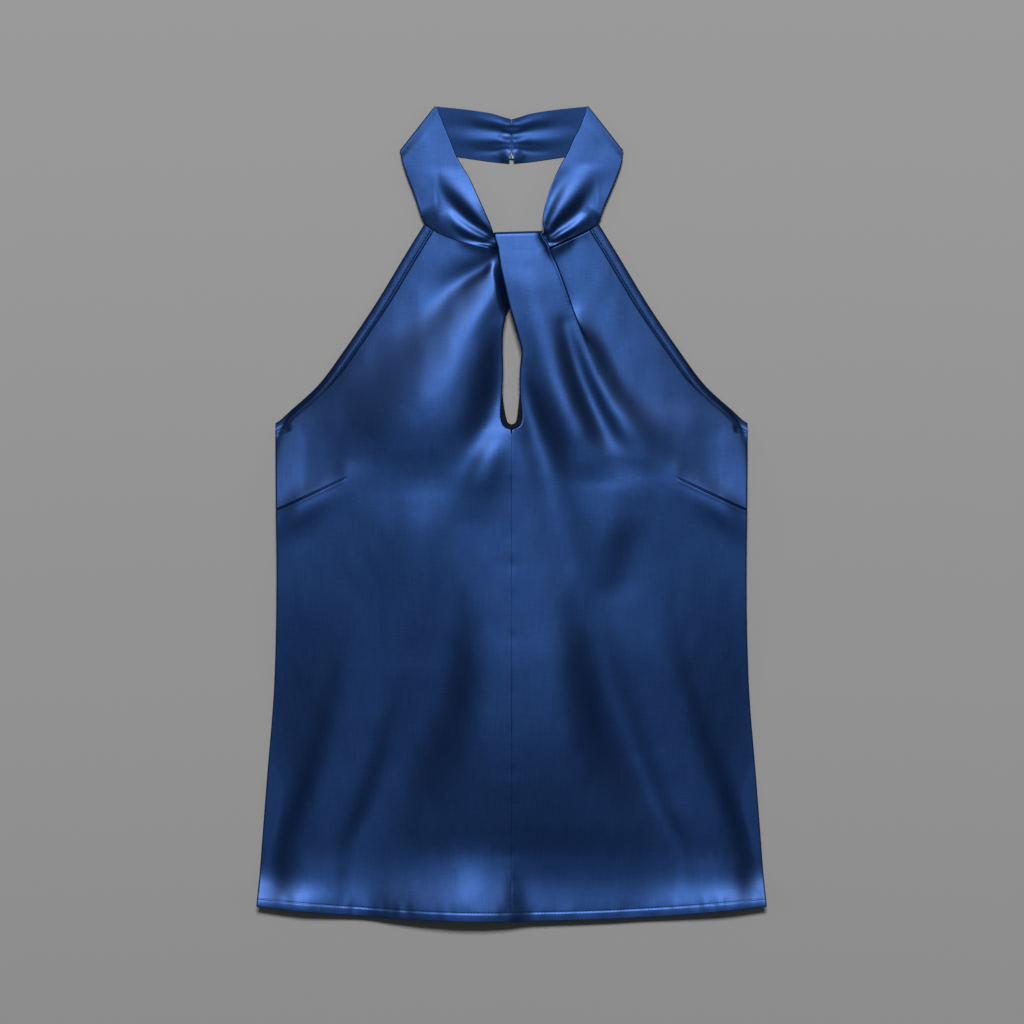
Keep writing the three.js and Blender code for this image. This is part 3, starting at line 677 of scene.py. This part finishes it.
# %% The right front
def shares_with_fine_edges(count, fine):
    """Shares from 0 to 1, close together at both ends. `fine` lists distances as shares."""
    middle = np.linspace(0, 1, count)[1:-1]
    middle = middle[(middle > fine[-1] * 1.5) & (middle < 1 - fine[-1] * 1.5)]
    return np.concatenate([fine, middle, 1 - np.array(fine)[::-1]])


FINE_EDGE = [0, 0.0012, 0.003, 0.006, 0.010]
TUCK_HEIGHT = 6.2


def right_height(x, y):
    """The right front sinks to pass under the strap."""
    edge = read_table(INNER_EDGE[LEFT], y)
    tuck = ease((x - edge + 9) / 12) * ease((y - 165) / 18)
    return lerp(front_height(RIGHT, x, y), TUCK_HEIGHT, tuck)


shares = shares_with_fine_edges(112, FINE_EDGE)
share = np.broadcast_to(shares, (len(row_inner), len(shares)))
inner_edge = inner_x(RIGHT, row_inner)[:, None]
x = lerp(inner_edge, -row_outer_x[:, None], share)
y = row_inner[:, None] + (row_outer_y - row_inner)[:, None] * rise_across(RIGHT, row_inner[:, None], share)
keyhole_roll = edge_roll((inner_edge - x) * 0.95, 1.1) * (row_inner[:, None] > KEYHOLE_FOOT - 1)
middle_roll = edge_roll(np.abs(x), 0.12) * (row_inner[:, None] <= KEYHOLE_FOOT)
z = right_height(x, y) + front_details(RIGHT, x, y, share) + keyhole_roll + middle_roll + top_edge_roll
right_points = np.stack([x, y, z], axis=2)[:, ::-1]
hem_row = np.argmin(np.abs(row_inner - HEM - HEM_TURNING))
ring_rows = (row_inner > KEYHOLE_FOOT) & (row_inner < 112)
topstitch(right_points[hem_row])
topstitch(right_points[ring_rows, -5])
right_front = cloth_piece(
    "satin_front_right", right_points.reshape(-1, 3), grid_squares(*x.shape), "front_right", satin,
)

# %% [markdown]
# ## The left front and its strap
#
# The left half is cut in one with the strap. Along the strap's outer edge the cloth doubles under itself in
# a Z, as a pleat does, and the Z opens out lower down until it is only a ridge. The grid has a few extra
# columns there, which are spread flat below and folded back above.

# %% Shape of the pleat
PLEAT = [  # how far out when open, how far out when folded, share of the drop
    (0.0, 0.0, 0.0), (0.6, 0.55, 0.05), (1.2, 0.95, 0.18), (1.8, 0.9, 0.36), (2.4, 0.3, 0.46), (3.2, -1.2, 0.5),
    (4.0, -3.4, 0.56), (4.8, -4.6, 0.66), (5.6, -5.0, 0.78), (6.4, -4.4, 0.9), (7.2, -2.6, 0.96), (8.0, -0.6, 1.0),
]
PLEAT_TOP = 190.0
PLEAT_END = 132.0
STRAP_LIFT = [(60, 0), (100, 0.7), (130, 1.8), (155, 3.0), (176, 3.8), (200, 4.2), (220, 3.9), (235, 3.3), (245, 2.8)]  # over the panel
TOP_SLOPE = 0.06  # fall of the strap towards its turn, in mm for each mm


def pleat_closed(y):
    """1 where the pleat is folded, down to 0 where it has opened out."""
    return ease((y - PLEAT_END) / (PLEAT_TOP - PLEAT_END))


# %% Grid of the left front
strap_shares = np.concatenate([[0, 0.004, 0.01, 0.02, 0.035], np.linspace(0.055, 0.985, 40), [0.993, 1.0]])
panel_shares = np.concatenate([np.linspace(0, 0.98, 66)[1:], [0.99, 0.994, 0.997, 0.9988, 1.0]])
pleat = np.array(PLEAT)

inner_edge = inner_x(LEFT, row_inner)[:, None]
outer_edge = row_outer_x[:, None]
fold_at = strap_fold_x(row_inner + 2.5 * ease((row_inner - 180) / 50))[:, None]
closed = pleat_closed(row_inner)[:, None]
pleat_x = fold_at + lerp(pleat[:, 0], pleat[:, 1], closed)
strap_x = lerp(inner_edge, fold_at, strap_shares)
panel_x = lerp(pleat_x[:, -1:], outer_edge, panel_shares)
x = np.hstack([strap_x, pleat_x[:, 1:], panel_x])
share = np.clip((x - inner_edge) / (outer_edge - inner_edge), 0, 1)
y = row_inner[:, None] + (row_outer_y - row_inner)[:, None] * rise_across(LEFT, row_inner[:, None], share)

flat = front_height(LEFT, x, y)
lift = read_table(STRAP_LIFT, row_inner)[:, None]
in_strap = np.hstack([1 + 0 * strap_x, 1 - pleat[1:, 2] + 0 * pleat_x[:, 1:], 0 * panel_x])
in_strap = lerp(1 - ease((x - fold_at + 7) / 26), in_strap, closed)  # a soft shoulder where the pleat is open
sink = closed * 0.9 * np.exp(-np.clip(x - fold_at, 0, None) / 7) * (1 - in_strap)
lip = 0.35 * closed * np.exp(-(((x - fold_at + 0.8) / 1.3) ** 2)) * (in_strap > 0.99)
keyhole_roll = edge_roll((x - inner_edge) * 0.95, 1.1) * (row_inner[:, None] > KEYHOLE_FOOT - 1)
middle_roll = edge_roll(np.abs(x), 0.12) * (row_inner[:, None] <= KEYHOLE_FOOT)
details = front_details(LEFT, x, y, share)
z = flat + lift * in_strap - sink + lip + details + keyhole_roll + middle_roll + top_edge_roll * (1 - in_strap)
main_rows, columns = x.shape

# %% The strap's turn
# The strap goes on past the last row, turns over at the top and comes back underneath. The pleat's first
# few columns go with it as its rounded edge.
STRAP_TOP = 245.4
STRAP_COLUMNS = len(strap_shares) + 4
TURN_REACH = 3.2  # how far the turn bulges along Y
RETURN_LENGTH = 30.0
RETURN_HEIGHT = 0.9

left_points = np.stack([x, y, z], axis=2)
topstitch(left_points[hem_row])
topstitch(left_points[ring_rows, 4])
last = left_points[-1, :STRAP_COLUMNS]
across = (last[:, 0] - last[0, 0]) / (last[-1, 0] - last[0, 0])
top_left, top_right = -15.0, 26.4
stations = []
turn_start = STRAP_TOP - TURN_REACH
for t in np.linspace(0, 1, 9)[1:]:
    stations.append((lerp(row_inner[-1], turn_start, t), 0.0, t))
for angle in np.radians(np.arange(12, 181, 12)):
    stations.append((turn_start + TURN_REACH * math.sin(angle), (1 - math.cos(angle)) / 2, 1.0))
for t in np.linspace(0, 1, 6)[1:]:
    stations.append((turn_start - RETURN_LENGTH * t, 1.0, 1.0))
strap_rows = []
for station_y, turned, top in stations:
    row = last.copy()
    row[:, 0] = lerp(last[:, 0], lerp(top_left, top_right, across), ease(top))
    row[:, 1] = station_y + 1.2 * (across - 0.5) * top + (last[:, 1] - row_inner[-1]) * (1 - top)
    row[:, 2] = lerp(last[:, 2] - TOP_SLOPE * (station_y - row_inner[-1]) * (1 - turned), RETURN_HEIGHT, turned)
    strap_rows.append(row)

main_points = left_points.reshape(-1, 3)
strap_points = np.vstack(strap_rows)
first = len(main_points)
last_row = (main_rows - 1) * columns + np.arange(STRAP_COLUMNS)
first_row = first + np.arange(STRAP_COLUMNS)
joint = np.stack([last_row[:-1], last_row[1:], first_row[1:], first_row[:-1]], axis=1)
squares = np.vstack([
    grid_squares(main_rows, columns),
    joint,
    grid_squares(len(strap_rows), STRAP_COLUMNS, first),
])
left_front = cloth_piece("satin_front_left", np.vstack([main_points, strap_points]), squares, "front_left", satin)

# %% [markdown]
# ## The back
#
# The back lies on the floor under the front and hardly shows. It is still a whole piece, because a model is
# looked at from below too.

# %% Back panel
BACK_TOP = 62.0
BACK_LEVEL = 0.95
BACK_FOLDS = {
    "left crease": [(60, -60, -0.2, 14), (72, -180, -0.3, 18), (60, -290, -0.2, 20)],
    "right crease": [(-70, -20, -0.2, 12), (-58, -150, -0.3, 16), (-84, -280, -0.2, 20)],
}
up = np.concatenate([[0, 0.0008, 0.002, 0.004], np.linspace(0.008, 0.992, 110), [0.996, 0.998, 0.9992, 1]])[:, None]
out = np.concatenate([[-1, -0.9985, -0.996], np.linspace(-0.99, 0.99, 120), [0.996, 0.9985, 1]])
centre_y = lerp(HEM + 2, BACK_TOP, up)
edge_y = lerp(SIDE_FOOT + 2, UNDERARM, up)
y = lerp(centre_y, edge_y, np.abs(out) ** 2.1)
x = out * (side_half(y) - 0.5)
z = BACK_LEVEL + all_folds(BACK_FOLDS, x, y) + 0.08 * soft_noise(x, y, (30, 40), 21)
to_seam = ease((np.abs(x) - side_half(y) + 30) / 29)
z = lerp(z, np.maximum(front_height(RIGHT, x, y) - 1.4, BACK_LEVEL), to_seam)  # the side seam stands up, and the back rises to meet it
back_panel = cloth_piece(
    "satin_back", np.stack([x, y, z], axis=2).reshape(-1, 3), grid_squares(*x.shape), "back", satin,
)

# %% [markdown]
# ## Armhole bindings
#
# A binding is a narrow bias strip that wraps the raw edge and is topstitched twice. It is a little fuller
# than the panel beside it, so it is rounded, and it turns down at the outer edge.

# %% Bindings
def binding(side, name, node):
    stations = np.linspace(0, 1, 190)[:, None]
    across = np.array([0, 0.02, 0.05, 0.1, 0.18, 0.3, 0.45, 0.6, 0.72, 0.8, 0.86, 0.91, 0.95, 0.98, 1.0])
    x, y = armhole_point(stations + 0 * across, BINDING * across + 0 * stations)
    from_outer = BINDING * across + 0 * stations
    z = front_height(side, x * side, y) + 0.25 * np.sin(np.pi * across) + edge_roll(from_outer, 0.7)
    z = z + edge_roll(BINDING - from_outer, 0.45)
    z = z - 0.22 * np.exp(-(((from_outer - BINDING + 1.6) / 0.45) ** 2))
    z = z + 0.05 * soft_noise(stations * ARM_LENGTH, 0 * x, (7, 1), 31) * np.sin(np.pi * across)
    z = z - 1.7 * ease(1 - stations / 0.45) * (1 - across)  # it turns down most at the underarm
    points = np.stack([x * side, y, np.maximum(z, 0.5)], axis=2)
    topstitch(points[8:, 7])
    topstitch(points[8:, 11])
    if side == LEFT:
        points = points[:, ::-1]
    return cloth_piece(name, points.reshape(-1, 3), grid_squares(*x.shape), node, satin)


binding_right = binding(RIGHT, "satin_binding_right", "armhole_binding_right")
binding_left = binding(LEFT, "satin_binding_left", "armhole_binding_left")

# %% [markdown]
# ## Neck bands
#
# Each band is one ribbon about 46 mm wide. It starts flat behind the neck at the centre back, folds over at
# the top corner, comes down the side of the neck on top, and is gathered into the twist. Its rows are lines
# across the ribbon, from the upper edge to the lower.

# %% Outlines of the bands
BAND_BACK = [  # upper x, upper y, lower x, lower y, from the centre back to the fold
    (0.1, 343.2, 0.1, 306.0), (9, 345.8, 14, 306.6), (18, 348.4, 27, 308.2), (36, 351.2, 50, 311.5),
    (52, 353.0, 76, 314.0), (66, 354.4, 97, 315.5),
]
BAND_SIDE = {  # upper x, upper y, lower x, lower y, lift, from the fold to the end under the strap
    RIGHT: [
        (66, 354.4, 97, 315.5, 5.6), (61.8, 345, 96, 309.5, 5.7), (57.9, 335.5, 93.8, 302, 5.9),
        (53, 323.5, 91, 293.5, 6.2), (48.3, 311.5, 87.4, 284.5, 6.6), (42.2, 301, 84, 275.5, 7.1),
        (36.1, 290.6, 80.6, 265, 7.7), (31, 279.5, 76.3, 254, 8.4), (26.5, 269.5, 69, 246.6, 9.2),
        (22.6, 260.8, 58.5, 241.3, 9.6), (19, 252.8, 46, 236.7, 9.7), (16.8, 246.6, 33, 233.4, 9.2),
        (14.6, 243, 22, 231.6, 7.8), (8, 242, 11, 230.4, 7.0), (0, 241.5, 1, 229.9, 6.6),
    ],
    LEFT: [
        (66.3, 354.4, 97, 315.5, 5.6), (63, 345, 96.6, 308.5, 5.7), (58.6, 334.5, 94.3, 300, 5.9),
        (53.6, 325, 91, 291, 6.2), (48.6, 313.5, 87, 281.5, 6.6), (42.2, 301.9, 82.5, 271.5, 7.1),
        (36.8, 290.5, 79, 262.5, 7.7), (32.6, 279.5, 76.3, 254, 8.4), (29.6, 269, 69.5, 248.3, 9.2),
        (27.6, 260, 60, 243.5, 9.6), (27.2, 252.5, 50.5, 239.3, 9.7), (28.4, 247.0, 41.5, 235.0, 9.2),
        (27.0, 243.2, 33, 231.8, 7.8), (20, 242, 24, 231, 7.0), (12, 241.5, 14, 230.4, 6.6),
    ],
}
BAND_OUTER = [(0, 5.2), (0.15, 5.6), (0.3, 6.2), (0.46, 6.9), (1, 7.0)]  # share along the side, height of the lower edge
SLIT_TOP = 318.0  # below this the two halves part at the centre back
SLIT_HALF = 1.7
BACK_LEAN = 4.6  # how much higher the neck band's upper edge stands than its lower one, behind the neck

# %% Folds of the bands
BAND_FOLDS = {  # x, y, up, half width
    RIGHT: {
        "inner crest": [
            (-16, 244, 0.8, 5), (-24, 254, 1.2, 8), (-33.5, 266.5, 1.4, 11), (-44, 280, 1.1, 14), (-52, 292, 0.5, 16),
            (-58, 303, 0.0, 17),
        ],
        "deep trough": [
            (-15, 240, -0.9, 4), (-28, 246.5, -1.3, 7), (-40, 255, -1.5, 9), (-52, 266, -1.4, 11), (-61, 275, -0.9, 13),
            (-68, 284, -0.1, 14),
        ],
        "outer crest": [
            (-13, 236, 0.7, 2.6), (-24, 239.6, 1.0, 3.4), (-36, 245, 1.0, 4.6), (-48, 253, 0.6, 6.5), (-60, 262, 0, 8),
        ],
        "seam trough": [(-12, 232.4, -0.8, 2.6), (-27, 235.2, -0.9, 3.4), (-42, 240, -0.6, 4.2), (-56, 247.5, 0, 5)],
    },
    LEFT: {
        "inner crest": [
            (31, 246.5, 0.8, 5), (38, 258, 1.2, 8), (46, 270, 1.4, 11), (54, 283, 1.1, 13), (61, 296, 0.5, 15),
            (66, 306, 0.0, 16),
        ],
        "inner trough": [(28.5, 252, -0.6, 4), (32, 265, -0.9, 5.5), (38, 280, -0.9, 7), (45, 294, -0.4, 8), (50, 304, 0, 8)],
        "deep trough": [
            (32, 242, -0.9, 4), (42, 249, -1.3, 7), (53, 257.5, -1.5, 9), (62, 265.5, -1.3, 11), (70, 272, -0.6, 12),
            (76, 277, 0, 12),
        ],
        "outer crest": [(33.5, 238.6, 0.7, 2.6), (43, 242.8, 1.0, 3.4), (54, 249, 0.9, 4.8), (65, 257, 0.4, 6.5), (72, 263, 0, 7)],
        "seam trough": [(35.5, 234.4, -0.8, 2.6), (46.5, 237.8, -0.8, 3.4), (59.5, 244.5, 0, 4)],
    },
}
BACK_BAND_FOLDS = {  # pulls towards the centre back, the same kind on both sides
    "middle trough": [(2, 331, -0.5, 2.0), (14, 333.5, -0.6, 3.4), (32, 336, -0.5, 5), (50, 338, -0.2, 6)],
    "upper crest": [(2, 338, 0.3, 1.8), (12, 340, 0.35, 2.6), (28, 343, 0.2, 4)],
    "lower crest": [(2, 323.5, 0.4, 1.8), (14, 325, 0.5, 3), (34, 325, 0.4, 5), (56, 327, 0.1, 6)],
    "lower trough": [(3, 317.5, -0.35, 1.6), (14, 316, -0.4, 2.4), (30, 316, -0.2, 3)],
}

# %% Building the bands
ACROSS = np.concatenate([[0, 0.004, 0.012, 0.025, 0.045], np.linspace(0.07, 0.93, 46), [0.955, 0.975, 0.988, 0.996, 1]])


def band_seam_height(side, x, y):
    """Height of the front's top edge, which the lower edge of the band meets."""
    return right_height(x, y) if side == RIGHT else front_height(LEFT, x, y)


def neck_band(side, name, node):
    behind = smooth_path(BAND_BACK, per_span=12)
    x = lerp(behind[:, 2:3], behind[:, 0:1], ACROSS)
    y = lerp(behind[:, 3:4], behind[:, 1:2], ACROSS)
    x = side * (x + SLIT_HALF * ease((SLIT_TOP - y) / 7) * np.exp(-x / 5))
    mirrored = np.abs(x)
    z = 0.8 + all_folds(BACK_BAND_FOLDS, mirrored, y)
    z = z + 0.25 * np.exp(-mirrored / 8) * soft_noise(x, y, (5, 4), 41)
    z = z + BACK_LEAN * ACROSS
    z = z + 1.9 * np.exp(-((mirrored / 9) ** 2) - ((y - 309) / 9) ** 2)
    z = np.maximum(z, 0.35)
    rows = [np.stack([x, y, z], axis=2)]

    line = rows[0][-1]
    direction = line[-1, :2] - line[0, :2]
    direction = direction / np.linalg.norm(direction)
    outward = np.array([direction[1], -direction[0]]) * side
    start = line[:, 2]
    lift_top = 4.6
    arc = []
    for angle in np.radians(np.arange(20, 180, 20)):
        row = line.copy()
        row[:, :2] += outward * 0.8 * math.sin(angle)
        row[:, 2] = lerp(start, lift_top + 1.0 * ACROSS, (1 - math.cos(angle)) / 2)
        arc.append(row)
    rows.append(np.array(arc))

    table = np.array(BAND_SIDE[side], dtype=float)
    beside = smooth_path(table, per_span=10)
    count = len(beside)
    x = side * lerp(beside[:, 2:3], beside[:, 0:1], ACROSS)
    y = lerp(beside[:, 3:4], beside[:, 1:2], ACROSS)
    along = np.linspace(0, 1, count)[:, None]
    at_seam = ease((along - 0.44) / 0.08)
    seam_level = band_seam_height(side, x[:, :1], y[:, :1]) + 0.2
    lower_level = lerp(read_table(BAND_OUTER, along), seam_level, at_seam)
    middle = beside[:, 4:5] + 0 * ACROSS
    width = np.linalg.norm(beside[:, 0:2] - beside[:, 2:4], axis=1)[:, None]
    z = lerp(lower_level, middle, np.sin(np.clip(ACROSS / 0.6, 0, 1) * math.pi / 2))
    fade = ease(along / 0.12)
    z = z + fade * all_folds(BAND_FOLDS[side], x, y)
    z = z + edge_roll(ACROSS * width, 0.4) + edge_roll((1 - ACROSS) * width, 0.4)
    z = z + fade * 0.2 * soft_noise(x, y, (16, 16), 43)
    z = lerp(lift_top + 1.0 * ACROSS, z, ease(along / 0.1))
    rows.append(np.stack([x, y, z], axis=2))
    points = np.vstack(rows)
    on_side = len(rows[0]) + len(rows[1])
    topstitch(points[on_side + 4:, 5])
    topstitch(points[2:len(rows[0]), 5])
    if side == RIGHT:
        points = points[:, ::-1]
    piece = cloth_piece(
        name, points.reshape(-1, 3), grid_squares(*points.shape[:2]), node, satin, above=CLOTH / 2, below=CLOTH / 2,
    )
    return piece


band_right = neck_band(RIGHT, "satin_band_right", "neck_band_right")
band_left = neck_band(LEFT, "satin_band_left", "neck_band_left")

# %% [markdown]
# ## Keyhole facing
#
# The keyhole is faced with a small strip on the inside. It shows past the fronts' edges at the foot as a
# narrow dark rim, and its near-black colour is painted shade.

# %% Facing
def keyhole_facing():
    levels = np.concatenate([[104, 99, 94, 90, 87, 84.5, 82, 80, 78.4, 77, 76, 75], [KEYHOLE_FOOT + 1.0]])
    left_edge = np.stack([inner_x(LEFT, levels), levels], axis=1)
    right_edge = np.stack([inner_x(RIGHT, levels), levels], axis=1)
    edge = np.vstack([right_edge, [[0, KEYHOLE_FOOT]], left_edge[::-1]])
    edge = smooth_path(edge, per_span=3)
    centre = np.stack([0 * edge[:, 0], np.maximum(edge[:, 1], 84)], axis=1)
    inward = centre - edge
    inward = inward / np.linalg.norm(inward, axis=1, keepdims=True)
    shows = read_table([(72, 4.6), (79, 4.6), (87, 3.5), (95, 1.7), (104, 0.35)], edge[:, 1])[:, None]
    across = np.array([1, 0.96, 0.9, 0.8, 0.6, 0.3, 0, -0.4, -1.0])
    x = edge[:, :1] + inward[:, :1] * shows * across
    y = edge[:, 1:] + inward[:, 1:] * shows * across
    z = np.minimum(front_height(RIGHT, x, y), front_height(LEFT, x, y)) - 1.1 + edge_roll((1 - across) * shows, 0.7)
    points = np.stack([x, y, z], axis=2)
    # the facing takes the near-black colour that paints the shade at the keyhole's foot
    return cloth_piece(
        "satin_keyhole_facing", points.reshape(-1, 3), grid_squares(*points.shape[:2]), "keyhole_facing", reverse,
    )


facing = keyhole_facing()

# %% The thread itself
stitch_mesh = bpy.data.meshes.new("topstitching")
stitch_mesh.from_pydata((np.array(stitch_points) * MM).tolist(), [], stitch_faces)
stitch_mesh.materials.append(thread)
topstitching = bpy.data.objects.new("topstitching", stitch_mesh)
bpy.context.scene.collection.objects.link(topstitching)
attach(topstitching, "root")
print("stitches:", len(stitch_faces) // 8)

# %% Nickel for the hook and eye
for name in ("hook", "eye"):
    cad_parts[name].data.materials.clear()
    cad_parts[name].data.materials.append(nickel)
